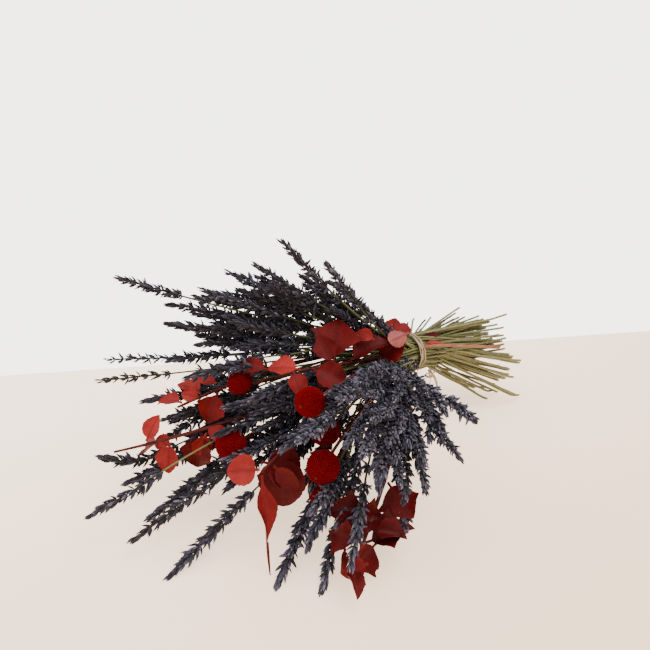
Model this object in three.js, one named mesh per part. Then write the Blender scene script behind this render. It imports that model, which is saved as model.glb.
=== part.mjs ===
// A tied bunch of dried flowers lying on its side: lavender sprigs, dyed craspedia balls and
// dyed eucalyptus twigs, crossing in a spiral at a raffia tie.
// Millimetres, +Z up. The heads lie towards -Y and the cut stems towards +Y.
//
// Every stem is a chain of rings. The chains are laid out from the tie, pushed apart until
// none touches another, a leaf or the surface below, and then skinned.

import * as THREE from 'three';
import { mergeVertices } from 'three/addons/utils/BufferGeometryUtils.js';

// ---------------------------------------------------------------- driving dimensions

const TIE_HEIGHT = 84;          // middle of the tie above the surface that the bunch lies on
const HEAD_REACH = 260;         // along Y, from the tie to the furthest spike's tip
const STEM_REACH = 160;         // along Y, from the tie to the furthest cut end
const STEM_SPREAD = 0.5;        // how far the cut ends fan out, as a share of the heads' fan
const STEM_DROP = 0.25;         // fall of the cut ends per unit of length
const WAIST_SPREAD = 11;        // how far the stems stand apart at the tie, per unit of slope

const LAVENDER_STEM_RADIUS = 1.1;
const SPIKE_RADIUS = 5;
const SPIKE_LENGTH = 66;
const BALL_RADIUS = 11.2;
const BALL_STEM_RADIUS = 1.2;
const TWIG_CUT_RADIUS = 2.3;
const TWIG_TIP_RADIUS = 1.0;
const LEAF_THICKNESS = 0.9;
const PETIOLE_WIDTH = 2.2;
const BAND_WIDTH = 10;
const BAND_THICKNESS = 2;
const BAND_CROWN = 0.4;         // how much thicker the band is along its middle
const KNOT_RADIUS = 5;
const TAIL_LENGTH = 14;
const KNOT_ANGLE = 0.45;        // how far round the band the knot has slipped, below its side

const GAP = 0.4;                // clear space between pieces that lie against each other

// ---------------------------------------------------------------- what grows where

// Each row gives a tip: slope to the side and slope upwards, both per unit of length along
// the bunch, and the tip's share of HEAD_REACH. Where the stem bows, two more numbers say how
// far its middle stands to the side and above.
const LAVENDER = [
  [-0.65, 0.41, 0.75], [-0.58, 0.26, 0.67], [-0.62, 0.62, 0.50], [-0.50, 0.46, 0.60],
  [-0.40, 0.70, 0.49], [-0.15, 0.84, 0.50], [0.02, 0.86, 0.42], [-0.20, 0.95, 0.28],
  [-0.74, 0.06, 0.78], [-0.60, 0.02, 0.84], [-0.30, 0.10, 0.72], [-0.42, -0.10, 0.75],
  [-0.42, -0.17, 0.91, 0, -10], [-0.27, -0.23, 1.00], [-0.16, -0.28, 0.95], [-0.04, -0.345, 0.93],
  [0.22, -0.415, 0.77], [0.36, -0.45, 0.72], [0.46, -0.36, 0.68], [0.66, -0.44, 0.52],
  [1.12, -0.26, 0.35], [0.12, -0.08, 0.66], [0.20, 0.10, 0.52], [-0.48, -0.54, 0.60],
];

const CRASPEDIA = [
  [-0.30, 0.06, 0.62], [0.10, 0.04, 0.58], [0.24, -0.20, 0.62],
  [0.09, -0.20, 0.51], [-0.21, -0.19, 0.70], [0.21, -0.38, 0.59],
];

const EUCALYPTUS = [
  [-0.10, 0.13, 0.48], [-0.41, -0.06, 0.72, 4, 14], [-0.36, -0.13, 0.90, 14, -4],
  [0.06, -0.16, 0.70], [0.45, -0.43, 0.67, 20, 12],
];

// Leaves: twig, share of the way from the tie to its tip, the way that the leaf points, the
// way that its upper side faces, length and width.
const LEAVES = [
  { twig: 0, at: 0.25, points: [-0.1, 0.5, 0.9], faces: [0.5, -0.8, 0.4], length: 32, width: 24 },
  { twig: 0, at: 0.36, points: [0.7, 0.4, 0.6], faces: [0.6, -0.6, 0.2], length: 28, width: 22 },
  { twig: 0, at: 0.62, points: [0.5, 0.7, 0.5], faces: [0.1, -0.5, 0.9], length: 38, width: 26 },
  { twig: 0, at: 0.73, points: [-0.3, 0.5, 0.8], faces: [0.5, -0.8, 0.4], length: 38, width: 31 },
  { twig: 0, at: 0.96, points: [-0.7, -0.6, 0.2], faces: [0.2, -0.3, 1.0], length: 25, width: 18 },
  { twig: 0, at: 0.90, points: [0.8, 0.3, -0.3], faces: [0.5, -0.7, 0.5], length: 26, width: 20 },
  { twig: 1, at: 0.74, points: [0.4, 0.3, 0.9], faces: [0.4, -0.8, 0.4], length: 20, width: 16 },
  { twig: 1, at: 0.90, points: [-0.9, -0.2, 0.3], faces: [0.0, 0.0, 1.0], length: 24, width: 16 },
  { twig: 1, at: 0.97, points: [-0.8, -0.5, 0.2], faces: [0.1, -0.1, 1.0], length: 20, width: 14 },
  { twig: 1, at: 0.84, points: [0.1, -0.6, -0.8], faces: [0.6, -0.7, 0.4], length: 24, width: 20 },
  { twig: 2, at: 0.92, points: [0.1, 0.5, 0.9], faces: [0.5, -0.8, 0.3], length: 20, width: 14 },
  { twig: 2, at: 0.88, points: [-0.9, -0.1, -0.5], faces: [0.1, -0.3, 1.0], length: 26, width: 14 },
  { twig: 2, at: 0.85, points: [0.3, -0.4, -0.8], faces: [0.5, -0.8, 0.2], length: 22, width: 16 },
  { twig: 2, at: 0.76, points: [0.0, -0.3, -0.9], faces: [0.5, -0.8, 0.2], length: 28, width: 22 },
  { twig: 3, at: 0.99, points: [-0.6, -0.8, 0.1], faces: [0.4, -0.6, 0.7], length: 21, width: 20 },
  { twig: 3, at: 0.95, points: [0.7, 0.2, -0.6], faces: [0.6, -0.8, 0.3], length: 24, width: 12 },
  { twig: 3, at: 0.87, points: [0.3, -0.4, -0.9], faces: [0.5, -0.8, 0.1], length: 36, width: 32 },
  { twig: 3, at: 1.00, points: [0.5, -0.4, -0.8], faces: [0.6, -0.8, 0.1], length: 42, width: 13 },
  { twig: 4, at: 0.69, points: [0.9, -0.2, -0.6], faces: [0.5, -0.8, 0.2], length: 28, width: 22 },
  { twig: 4, at: 0.81, points: [-0.8, -0.6, 0.2], faces: [0.1, -0.3, 1.0], length: 30, width: 14 },
  { twig: 4, at: 0.86, points: [0.9, 0.3, 0.1], faces: [0.2, -0.6, 0.8], length: 22, width: 14 },
  { twig: 4, at: 0.90, points: [-0.8, -0.4, 0.2], faces: [0.5, -0.5, 0.7], length: 22, width: 16 },
  { twig: 4, at: 0.98, points: [0.6, -0.7, 0.2], faces: [0.2, -0.6, 0.9], length: 18, width: 10 },
];

// ---------------------------------------------------------------- ring profiles

const STEM_STEPS = [1, 0.82, 0.64, 0.47, 0.31, 0.16];          // from the cut end to the tie
const BARE_STEPS = [0, 0.08, 0.18, 0.3, 0.44, 0.6, 0.8];       // from the tie to the head
const SPIKE_PROFILE = [[0, 0.25], [0.1, 0.75], [0.28, 1], [0.55, 0.95], [0.8, 0.75], [0.95, 0.4]];
const BALL_RINGS = 6;
const STEM_SIDES = 6;
const BALL_SIDES = 10;

const material = (color, roughness) => new THREE.MeshStandardMaterial({ color, roughness });
const MATERIALS = {
  lavender: material(0x3c3846, 0.95),
  craspedia: material(0x9c0a10, 0.9),
  eucalyptus_twig: material(0x8a4a3a, 0.8),
  leaf: material(0xb8332e, 0.7),
  raffia: material(0xc9b28c, 0.85),
};

const spreadShare = (index) => (index * 0.618) % 1;            // an even, irregular spread

// ---------------------------------------------------------------- stems as chains of rings

// A chain's centre line: straight from the cut end to the tie, then a gentle arch that leaves
// the tie on a flatter slope and leans out to the tip.
function centreLine([side, rise, reach, bowSide = 0, bowRise = 0], lean, index) {
  const fan = new THREE.Vector2(side - lean.x, rise - lean.y);
  const eased = fan.clone().divideScalar(1 + 0.5 * fan.length());
  const waist = new THREE.Vector3(WAIST_SPREAD * eased.y, 0, -WAIST_SPREAD * eased.x);
  const tip = new THREE.Vector3(side, -1, rise).multiplyScalar(reach * HEAD_REACH);
  const back = STEM_REACH * (1 - 0.18 * spreadShare(index));
  const slope = new THREE.Vector2(-STEM_SPREAD * fan.x, -STEM_SPREAD * fan.y - STEM_DROP);
  const cut = new THREE.Vector3(slope.x, 1, slope.y).multiplyScalar(back).add(waist);
  const flat = new THREE.Vector3(eased.x + lean.x, -1, eased.y + lean.y);
  const bend = flat.multiplyScalar(0.5 * reach * HEAD_REACH).add(waist);
  bend.add(new THREE.Vector3(2 * bowSide, 0, 2 * bowRise));
  return {
    behind: (share) => waist.clone().lerp(cut, share),
    ahead: new THREE.QuadraticBezierCurve3(waist, bend, tip),
  };
}

function chain(line, cutRadius, stemRadius, headLength, headRings) {
  const length = line.ahead.getLength();
  const bare = 1 - headLength / length;
  const rings = [];
  for (const share of STEM_STEPS) {
    const radius = THREE.MathUtils.lerp(stemRadius, cutRadius, Math.min(1, share + 0.5));
    rings.push({ point: line.behind(share), radius });
  }
  for (const share of BARE_STEPS) {
    const radius = THREE.MathUtils.lerp(THREE.MathUtils.lerp(stemRadius, cutRadius, 0.5), stemRadius, share);
    rings.push({ point: line.ahead.getPointAt(share * bare), radius });
  }
  for (const [share, radius] of headRings) {
    rings.push({ point: line.ahead.getPointAt(bare + share * (1 - bare)), radius });
  }
  rings.push({ point: line.ahead.getPointAt(1), radius: 0 });
  return rings;
}

function lavenderRings(row, lean, index) {
  const length = SPIKE_LENGTH * (0.8 + 0.4 * spreadShare(index * 3 + 1));
  const head = SPIKE_PROFILE.map(([share, swell]) => [share, swell * SPIKE_RADIUS]);
  return chain(centreLine(row, lean, index), LAVENDER_STEM_RADIUS, LAVENDER_STEM_RADIUS, length, head);
}

function craspediaRings(row, lean, index) {
  const head = [[0, BALL_STEM_RADIUS]];
  for (let k = 1; k < BALL_RINGS; k++) {
    const angle = Math.PI * k / BALL_RINGS;
    head.push([(1 - Math.cos(angle)) / 2, BALL_RADIUS * Math.sin(angle)]);
  }
  return chain(centreLine(row, lean, index), BALL_STEM_RADIUS, BALL_STEM_RADIUS, 2 * BALL_RADIUS, head);
}

function twigRings(row, lean, index) {
  const head = [[0, 1.6], [0.5, 1.3], [0.95, 1]].map(([share, swell]) => [share, swell * TWIG_TIP_RADIUS]);
  return chain(centreLine(row, lean, index), TWIG_CUT_RADIUS, 1.7 * TWIG_TIP_RADIUS, 30, head);
}

// ---------------------------------------------------------------- leaves

// The point on a twig at a share of the way, by length, from the tie to the tip.
function along(rings, share) {
  const ahead = rings.slice(STEM_STEPS.length);
  const steps = ahead.slice(1).map((ring, k) => ring.point.distanceTo(ahead[k].point));
  let left = share * steps.reduce((sum, step) => sum + step, 0);
  let k = 0;
  while (k + 1 < steps.length && left > steps[k]) left -= steps[k++];
  return {
    point: ahead[k].point.clone().lerp(ahead[k + 1].point, left / steps[k]),
    radius: Math.max(ahead[k].radius, ahead[k + 1].radius),
  };
}

// A leaf's own frame: `out` from the base to the tip, `over` across it and `up` from its face.
function leafFrame(leaf, twigs) {
  const out = new THREE.Vector3(...leaf.points).normalize();
  const face = new THREE.Vector3(...leaf.faces);
  const up = face.addScaledVector(out, -face.dot(out)).normalize();
  const over = new THREE.Vector3().crossVectors(out, up);
  const seat = along(twigs[leaf.twig], leaf.at);
  const base = seat.point.addScaledVector(out, seat.radius + LEAF_THICKNESS + GAP);
  return { out, up, over, base, length: leaf.length, width: leaf.width };
}

const PETIOLE_SHARE = 0.16;
const CUP = 0.32;               // rise of the edges, per half width
const CURL = 0.10;              // fall of the tip, per length

// Half the width at a share of the length: a narrow stalk, then a rounded blade.
function halfWidth(leaf, share) {
  const blade = Math.min(1, Math.max(0, (share - PETIOLE_SHARE) / (1 - PETIOLE_SHARE)));
  const swell = Math.sin(Math.PI * blade ** 0.85) ** 0.75;
  return PETIOLE_WIDTH / 2 + (leaf.width - PETIOLE_WIDTH) / 2 * swell;
}

// Height of the blade's middle surface above its frame's plane.
function leafHeight(leaf, share, across) {
  return CUP * across * across / (leaf.width / 2) - CURL * leaf.length * share * share;
}

function leafGeometry(frame) {
  const geometry = new THREE.BoxGeometry(2, 1, LEAF_THICKNESS, 4, 8, 1);
  const position = geometry.attributes.position;
  for (let i = 0; i < position.count; i++) {
    const share = position.getY(i) + 0.5;
    const across = position.getX(i) * halfWidth(frame, share);
    const height = position.getZ(i) + leafHeight(frame, share, across);
    const point = frame.base.clone()
      .addScaledVector(frame.out, share * frame.length)
      .addScaledVector(frame.over, across)
      .addScaledVector(frame.up, height);
    position.setXYZ(i, point.x, point.y, point.z);
  }
  geometry.deleteAttribute('normal');
  geometry.deleteAttribute('uv');
  return mergeVertices(geometry, 1e-4);
}

// ---------------------------------------------------------------- pushing pieces apart

const EASED_ROUNDS = 160;       // rounds that also hold each chain to its own curve
const MOST_ROUNDS = 900;        // after those, rounds that only push, until all is settled
const SETTLED = 0.1;            // the most that a gap may still lack
const CURVE_HOLD = 0.35;
const PLACE_HOLD = 0.03;
const STRETCH = 1.1;            // the most that a segment may have stretched
const SAMPLE_STEP = 2;          // how finely a chain is tested against a leaf
const LEAF_SLOPE = 1.2;         // a cupped blade is this much nearer than straight above it

// The closest points of two segments, as shares of each.
function closestShares(a0, a1, b0, b1) {
  const u = a1.clone().sub(a0);
  const v = b1.clone().sub(b0);
  const w = a0.clone().sub(b0);
  const uu = u.lengthSq();
  const vv = v.lengthSq();
  const uv = u.dot(v);
  const bent = uu * vv - uv * uv;
  const clamp = THREE.MathUtils.clamp;
  let s = bent > 1e-9 ? clamp((uv * v.dot(w) - vv * u.dot(w)) / bent, 0, 1) : 0.5;
  const t = clamp((uv * s + v.dot(w)) / vv, 0, 1);
  s = clamp((uv * t - u.dot(w)) / uu, 0, 1);
  return [s, t];
}

// Moves the point at a share of a segment by moving the segment's two ends.
function shift(r0, r1, share, direction, distance) {
  const total = (1 - share) ** 2 + share ** 2;
  r0.point.addScaledVector(direction, distance * (1 - share) / total);
  r1.point.addScaledVector(direction, distance * share / total);
}

// Pushes two chains apart, and gives the most that they lacked.
function pushChains(a, b) {
  let most = 0;
  for (let i = 0; i + 1 < a.length; i++) {
    for (let j = 0; j + 1 < b.length; j++) {
      const far = a[i].reach + b[j].reach + GAP;
      if (Math.abs(a[i].point.y - b[j].point.y) > far) continue;
      if (a[i].point.distanceToSquared(b[j].point) > far * far) continue;
      const [s, t] = closestShares(a[i].point, a[i + 1].point, b[j].point, b[j + 1].point);
      const from = a[i].point.clone().lerp(a[i + 1].point, s);
      const to = b[j].point.clone().lerp(b[j + 1].point, t);
      const away = to.sub(from);
      const lack = a[i].thick + b[j].thick + GAP - away.length();
      if (lack <= 0) continue;
      away.normalize();
      shift(a[i], a[i + 1], s, away, -lack / 2);
      shift(b[j], b[j + 1], t, away, lack / 2);
      most = Math.max(most, lack);
    }
  }
  return most;
}

// Pushes a chain off a leaf, all of it to the side where most of it already is, and gives the
// most that it lacked. Each segment moves by what its worst sample lacks.
function pushOffLeaf(rings, frame) {
  const touching = [];
  for (let k = 0; k + 1 < rings.length; k++) {
    if (rings[k].point.distanceTo(frame.base) > frame.length + rings[k].reach) continue;
    const samples = Math.ceil(rings[k].reach / SAMPLE_STEP);
    for (let n = 0; n < samples; n++) {
      const t = n / samples;
      const local = rings[k].point.clone().lerp(rings[k + 1].point, t).sub(frame.base);
      const [ahead, aside] = [local.dot(frame.out), local.dot(frame.over)];
      const share = THREE.MathUtils.clamp(ahead / frame.length, 0, 1);
      const half = halfWidth(frame, share);
      const across = THREE.MathUtils.clamp(aside, -half, half);
      const beyond = Math.hypot(ahead - share * frame.length, aside - across);
      const reach = LEAF_SLOPE * (rings[k].thick + GAP + LEAF_THICKNESS / 2);
      if (beyond >= reach) continue;
      const height = local.dot(frame.up) - leafHeight(frame, share, across);
      touching.push({ k, t, height, need: Math.sqrt(reach * reach - beyond * beyond) });
    }
  }
  const side = Math.sign(touching.reduce((sum, hit) => sum + hit.height, 0)) || 1;
  const worst = new Map();
  for (const { k, t, height, need } of touching) {
    const lack = need - side * height;
    if (lack > (worst.get(k)?.lack ?? 0)) worst.set(k, { t, lack });
  }
  let most = 0;
  for (const [k, { t, lack }] of worst) {
    shift(rings[k], rings[k + 1], t, frame.up, side * lack / 2);
    most = Math.max(most, lack);
  }
  return most;
}

function holdCurve(rings) {
  for (let k = 1; k + 1 < rings.length; k++) {
    const middle = rings[k - 1].point.clone().lerp(rings[k + 1].point, rings[k].between).add(rings[k].bulge);
    rings[k].point.lerp(middle, CURVE_HOLD);
  }
  for (const ring of rings) ring.point.lerp(ring.rest, PLACE_HOLD);
}

// What a chain needs for its own curve to be held: each ring's first place, its share of the
// way between its neighbours and how far it stands off the line between them. A segment counts
// as thick as its thicker end, and `reach` is a sphere about its first ring that holds it.
function noteCurve(rings) {
  rings.forEach((ring, k) => {
    const next = rings[Math.min(k + 1, rings.length - 1)];
    ring.rest = ring.point.clone();
    ring.thick = Math.max(ring.radius, next.radius);
    ring.reach = STRETCH * ring.point.distanceTo(next.point) + ring.thick;
    if (k === 0 || next === ring) return;
    const before = ring.point.distanceTo(rings[k - 1].point);
    ring.between = before / (before + ring.point.distanceTo(next.point));
    ring.bulge = ring.point.clone().sub(rings[k - 1].point.clone().lerp(next.point, ring.between));
  });
}

function settle(chains, twigs) {
  chains.forEach(noteCurve);
  for (let round = 0, most = SETTLED; round < MOST_ROUNDS && most >= SETTLED; round++) {
    const eased = round < EASED_ROUNDS;
    if (eased) chains.forEach(holdCurve);
    most = eased ? SETTLED : 0;
    for (const leaf of LEAVES) {
      const frame = leafFrame(leaf, twigs);
      for (const rings of chains) {
        if (rings !== twigs[leaf.twig]) most = Math.max(most, pushOffLeaf(rings, frame));
      }
    }
    for (let i = 0; i < chains.length; i++) {
      for (let j = i + 1; j < chains.length; j++) most = Math.max(most, pushChains(chains[i], chains[j]));
    }
    for (const rings of chains) {
      for (const ring of rings) ring.point.z = Math.max(ring.point.z, ring.radius - TIE_HEIGHT);
    }
  }
}

// ---------------------------------------------------------------- skinning

// Sideways directions for each ring, turned as little as possible from one to the next.
function ringFrames(rings) {
  let across = new THREE.Vector3(1, 0, 0);
  return rings.map((ring, k) => {
    const before = rings[Math.max(0, k - 1)].point;
    const after = rings[Math.min(rings.length - 1, k + 1)].point;
    const ahead = after.clone().sub(before).normalize();
    across = across.clone().addScaledVector(ahead, -across.dot(ahead)).normalize();
    return { point: ring.point, across, over: new THREE.Vector3().crossVectors(across, ahead) };
  });
}

// A lathe turned about a straight axis, one unit of height per ring, then carried to the rings.
function bentLathe(rings, sides) {
  const profile = rings.map((ring, k) => new THREE.Vector2(ring.radius, k));
  profile.unshift(new THREE.Vector2(0, 0));
  const geometry = new THREE.LatheGeometry(profile, sides);
  const frames = ringFrames(rings);
  const position = geometry.attributes.position;
  for (let i = 0; i < position.count; i++) {
    const frame = frames[Math.round(position.getY(i))];
    const point = frame.point.clone()
      .addScaledVector(frame.across, position.getX(i))
      .addScaledVector(frame.over, position.getZ(i));
    position.setXYZ(i, point.x, point.y, point.z);
  }
  geometry.deleteAttribute('normal');
  geometry.deleteAttribute('uv');
  return mergeVertices(geometry, 1e-4);
}

// ---------------------------------------------------------------- the tie

// The band fits round the stems: its inner radius clears every chain inside its width.
function waistRadius(chains) {
  const samples = 8;
  let radius = 0;
  for (const rings of chains) {
    for (let k = 0; k + 1 < rings.length; k++) {
      for (let n = 0; n <= samples; n++) {
        const point = rings[k].point.clone().lerp(rings[k + 1].point, n / samples);
        if (Math.abs(point.y) > BAND_WIDTH / 2 + 2 * LAVENDER_STEM_RADIUS) continue;
        const thick = Math.max(rings[k].radius, rings[k + 1].radius);
        radius = Math.max(radius, Math.hypot(point.x, point.z) + thick);
      }
    }
  }
  return radius + GAP;
}

function bandGeometry(inner) {
  const outer = inner + BAND_THICKNESS;
  const half = BAND_WIDTH / 2;
  const shoulder = 0.8 * half;
  const section = [
    [inner, -half], [outer, -shoulder], [outer + BAND_CROWN, 0], [outer, shoulder], [inner, half],
  ];
  const profile = section.map(([r, y]) => new THREE.Vector2(r, y));
  profile.push(profile[0].clone());
  const geometry = new THREE.LatheGeometry(profile, 28);
  geometry.deleteAttribute('normal');
  geometry.deleteAttribute('uv');
  return mergeVertices(geometry, 1e-4);
}

// The knot and its two short ends lie across the band, bent away from it.
const KNOT_SECTION = [
  [-1, 0.25], [-0.6, 0.35], [-0.35, 0.5], [-0.2, 0.9], [0, 1], [0.2, 0.9], [0.35, 0.5], [0.6, 0.35],
];

function knotRings() {
  const span = KNOT_RADIUS + TAIL_LENGTH;
  const place = (share) => new THREE.Vector3(0.3 * span * share * share, 0.3 * span * share, span * share);
  const rings = KNOT_SECTION.map(([share, swell]) => ({ point: place(share), radius: KNOT_RADIUS * swell }));
  rings.push({ point: place(1), radius: 0 });
  return rings;
}

// ---------------------------------------------------------------- the bunch

const plan = [
  ...EUCALYPTUS.map((row, i) => ({ kind: 'eucalyptus_twig', row, make: twigRings, i })),
  ...CRASPEDIA.map((row, i) => ({ kind: 'craspedia', row, make: craspediaRings, i })),
  ...LAVENDER.map((row, i) => ({ kind: 'lavender', row, make: lavenderRings, i })),
];
const lean = new THREE.Vector2();
for (const { row } of plan) lean.add(new THREE.Vector2(row[0], row[1]).divideScalar(plan.length));

const chains = plan.map(({ row, make }, order) => make(row, lean, order));
const twigs = chains.slice(0, EUCALYPTUS.length);
settle(chains, twigs);

const bunch = new THREE.Group();
bunch.name = 'dried_flower_bunch';

function add(name, geometry, look) {
  const mesh = new THREE.Mesh(geometry, look);
  mesh.name = name;
  bunch.add(mesh);
  return mesh;
}

const numbered = (kind, i) => `${kind}_${String(i + 1).padStart(2, '0')}`;

plan.forEach(({ kind, i }, order) => {
  const sides = kind === 'craspedia' ? BALL_SIDES : STEM_SIDES;
  add(numbered(kind, i), bentLathe(chains[order], sides), MATERIALS[kind]);
});
LEAVES.forEach((leaf, i) => {
  add(numbered('eucalyptus_leaf', i), leafGeometry(leafFrame(leaf, twigs)), MATERIALS.leaf);
});

const waist = waistRadius(chains);
add('raffia_band', bandGeometry(waist), MATERIALS.raffia);
const knot = add('raffia_knot', bentLathe(knotRings(), STEM_SIDES), MATERIALS.raffia);
const knotReach = waist + BAND_THICKNESS + BAND_CROWN + KNOT_RADIUS + GAP;
knot.rotation.y = KNOT_ANGLE;
knot.position.set(knotReach * Math.cos(KNOT_ANGLE), 0, -knotReach * Math.sin(KNOT_ANGLE));

// The origin is at the middle of the bunch's box, on the surface that it lies on.
bunch.updateMatrixWorld(true);
const box = new THREE.Box3().setFromObject(bunch, true);
const middle = box.getCenter(new THREE.Vector3());
bunch.position.set(-middle.x, -middle.y, -box.min.z);

export default bunch;
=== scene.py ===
# %% [markdown]
# # A bunch of dried lavender, craspedia and eucalyptus
# The bunch lies on its side. Some 140 lavender sprigs, six dyed craspedia balls and five dyed
# eucalyptus twigs cross at a raffia tie, open into a broad head on one side of it and into a
# fan of cut stems on the other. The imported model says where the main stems, balls and leaves
# are, so everything below is worked out from its nodes, in metres, in its own frame.

# %% Load the frame and read its box
import math

import bpy
import numpy as np
from mathutils import Euler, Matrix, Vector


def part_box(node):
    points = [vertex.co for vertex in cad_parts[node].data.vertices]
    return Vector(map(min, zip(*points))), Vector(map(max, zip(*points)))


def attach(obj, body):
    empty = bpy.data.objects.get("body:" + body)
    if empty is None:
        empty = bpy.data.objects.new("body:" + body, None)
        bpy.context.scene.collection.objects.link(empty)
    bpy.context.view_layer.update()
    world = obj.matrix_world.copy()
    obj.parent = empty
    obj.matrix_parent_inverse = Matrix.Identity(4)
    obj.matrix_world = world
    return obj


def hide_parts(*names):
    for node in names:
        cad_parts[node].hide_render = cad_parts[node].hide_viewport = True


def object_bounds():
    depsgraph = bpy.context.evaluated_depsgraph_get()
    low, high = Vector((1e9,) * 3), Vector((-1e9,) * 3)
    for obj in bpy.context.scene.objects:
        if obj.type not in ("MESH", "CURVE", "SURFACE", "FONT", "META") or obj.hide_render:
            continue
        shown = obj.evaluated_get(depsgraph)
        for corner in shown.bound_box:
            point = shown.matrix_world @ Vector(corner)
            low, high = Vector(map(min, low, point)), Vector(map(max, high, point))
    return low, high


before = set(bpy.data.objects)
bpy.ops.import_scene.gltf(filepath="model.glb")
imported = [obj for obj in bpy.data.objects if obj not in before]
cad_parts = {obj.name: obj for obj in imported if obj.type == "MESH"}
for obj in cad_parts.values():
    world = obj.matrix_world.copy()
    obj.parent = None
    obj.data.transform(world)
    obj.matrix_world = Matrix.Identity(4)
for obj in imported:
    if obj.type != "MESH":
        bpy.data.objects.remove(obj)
CAD_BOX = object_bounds()
MM = 0.001
print("frame:", len(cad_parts), "nodes, box", np.round(CAD_BOX, 4).tolist())

# %% [markdown]
# ## The tie and the camera
# The tie is the one fixed place of the bunch: every stem passes through it, so it makes a
# good origin. The camera stands in front of the head and a little above it, to the right,
# and looks along the bunch towards the cut ends.

# %% Find the tie and set up the camera
band_low, band_high = (np.array(corner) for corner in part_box("raffia_band"))
TIE = (band_low + band_high) / 2
CAMERA_FROM_TIE = [0.2230, -0.3571, 0.1523]
LOOKS_DOWN, TURNS_LEFT = math.radians(17), math.radians(42)

camera_data = bpy.data.cameras.new("camera")
camera_data.sensor_width = 36
camera_data.lens = 27.03
camera_data.clip_start = 0.01
camera = bpy.data.objects.new("camera", camera_data)
camera.location = TIE + CAMERA_FROM_TIE
camera.rotation_euler = Euler((math.pi / 2 - LOOKS_DOWN, 0, TURNS_LEFT))
bpy.context.scene.collection.objects.link(camera)
bpy.context.scene.camera = camera
print("tie at", TIE.round(4))

# %% [markdown]
# ## Reading the stems
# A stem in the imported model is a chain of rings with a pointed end. Its triangles are loose,
# so its corners are merged first. The point is the corner that takes the most edges to reach
# from the cut end. Starting from it, the corners one edge away are the first ring, those two
# edges away the second, and so on, and the middle of each ring is a point on the stem's
# centre line. This needs no knowledge of how the stem was made.

# %% Rings of a stem
def merged(node):
    """The corners of a CAD node with doubles merged, and its edges as pairs of corners."""
    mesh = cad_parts[node].data
    points = np.empty(len(mesh.vertices) * 3)
    mesh.vertices.foreach_get("co", points)
    corners = np.empty(len(mesh.loops), int)
    mesh.loops.foreach_get("vertex_index", corners)
    points, same = np.unique(points.reshape(-1, 3).round(6), axis=0, return_inverse=True)
    triangles = same.reshape(-1)[corners].reshape(-1, 3)
    edges = np.vstack([triangles[:, [0, 1]], triangles[:, [1, 2]], triangles[:, [2, 0]]])
    return points, edges


def layers(count, edges, start):
    """Corners in the order in which edges reach them from a start: one mask for each step."""
    front = np.arange(count) == start
    seen, found = front.copy(), []
    while front.any():
        found.append(front)
        touched = np.zeros(count, bool)
        touched[edges[front[edges[:, 0]], 1]] = True
        touched[edges[front[edges[:, 1]], 0]] = True
        front = touched & ~seen
        seen |= front
    return found


def rings(node):
    """Middle points and radii of a stem's rings, from its tip to its cut end."""
    points, edges = merged(node)
    from_cut = layers(len(points), edges, np.argmax(points[:, 1]))
    found = layers(len(points), edges, np.argmax(from_cut[-1]))
    middles = np.array([points[ring].mean(axis=0) for ring in found])
    radii = [np.linalg.norm(points[ring] - middle, axis=1).mean()
             for ring, middle in zip(found, middles)]
    return middles, np.array(radii)


def named(kind):
    """The CAD nodes of one kind, in the order of their numbers."""
    return sorted(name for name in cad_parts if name.startswith(kind))


LAVENDER = [rings(name) for name in named("lavender")]
CRASPEDIA = [rings(name) for name in named("craspedia")]
TWIGS = [rings(name) for name in named("eucalyptus_twig")]
print("rings of the twigs:", [len(middles) for middles, _ in TWIGS])

# %% [markdown]
# ## Surfaces from arrays
# Stems, flowers, leaves and raffia are all one idea: a closed profile carried along a path.
# The points of many such tubes are worked out at once as one array, whose axes are the tube,
# the row along the path and the side round the profile. Every tube gets a flat cap at both
# ends, so it is closed.

# %% Tubes, frames and pieces
STEM_ROWS = 64
TABLE_TOP = 0.1 * MM


def once_round(sides):
    """The angles of that many sides, evenly once round."""
    return np.linspace(0, 2 * np.pi, sides, endpoint=False)


def waves(at, draw, *parts):
    """A sum of sine waves, each with its number, its height and a drawn start."""
    return sum(height * np.sin(number * at + draw.uniform(0, 6)) for number, height in parts)


def unit(vectors):
    """Vectors divided by their length."""
    return vectors / np.maximum(np.linalg.norm(vectors, axis=-1, keepdims=True), 1e-12)


def frames(paths, reference):
    """Directions along paths, and two directions square to them.

    The first is the cross product of the path's direction and the reference direction, and
    the second is square to both."""
    along = unit(np.gradient(paths, axis=-2))
    side = unit(np.cross(along, np.broadcast_to(reference, along.shape)))
    return along, side, np.cross(side, along)


def tube_faces(count, rows, sides):
    """Faces of several tubes: squares between neighbouring rows, and a cap at each end."""
    j = np.arange(sides)
    i = np.arange(rows - 1)[:, None]
    square = np.stack([i * sides + j, i * sides + (j + 1) % sides,
                       (i + 1) * sides + (j + 1) % sides, (i + 1) * sides + j], axis=-1)
    start = (np.arange(count) * rows * sides)[:, None, None]
    squares = (square.reshape(1, -1, 4) + start).reshape(-1, 4)
    caps = np.stack([j[::-1], (rows - 1) * sides + j])[None] + start
    return squares.tolist() + caps.reshape(-1, sides).tolist()


def tubes(paths, radii, sides, reference=(0, 0, 1), square=0.0):
    """Points of round tubes: path + radius * (cos a * side + sin a * up).

    The angle a goes once round. With square above 0 the radius also swells four times round,
    by that share, as the corners of a lavender stem do."""
    along, side, up = frames(paths, reference)
    angle = once_round(sides)
    swell = 1 + square * np.cos(4 * angle)
    ring = (np.cos(angle) * swell)[:, None] * side[..., None, :]
    ring = ring + (np.sin(angle) * swell)[:, None] * up[..., None, :]
    return paths[..., None, :] + radii[..., None, None] * ring


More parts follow.
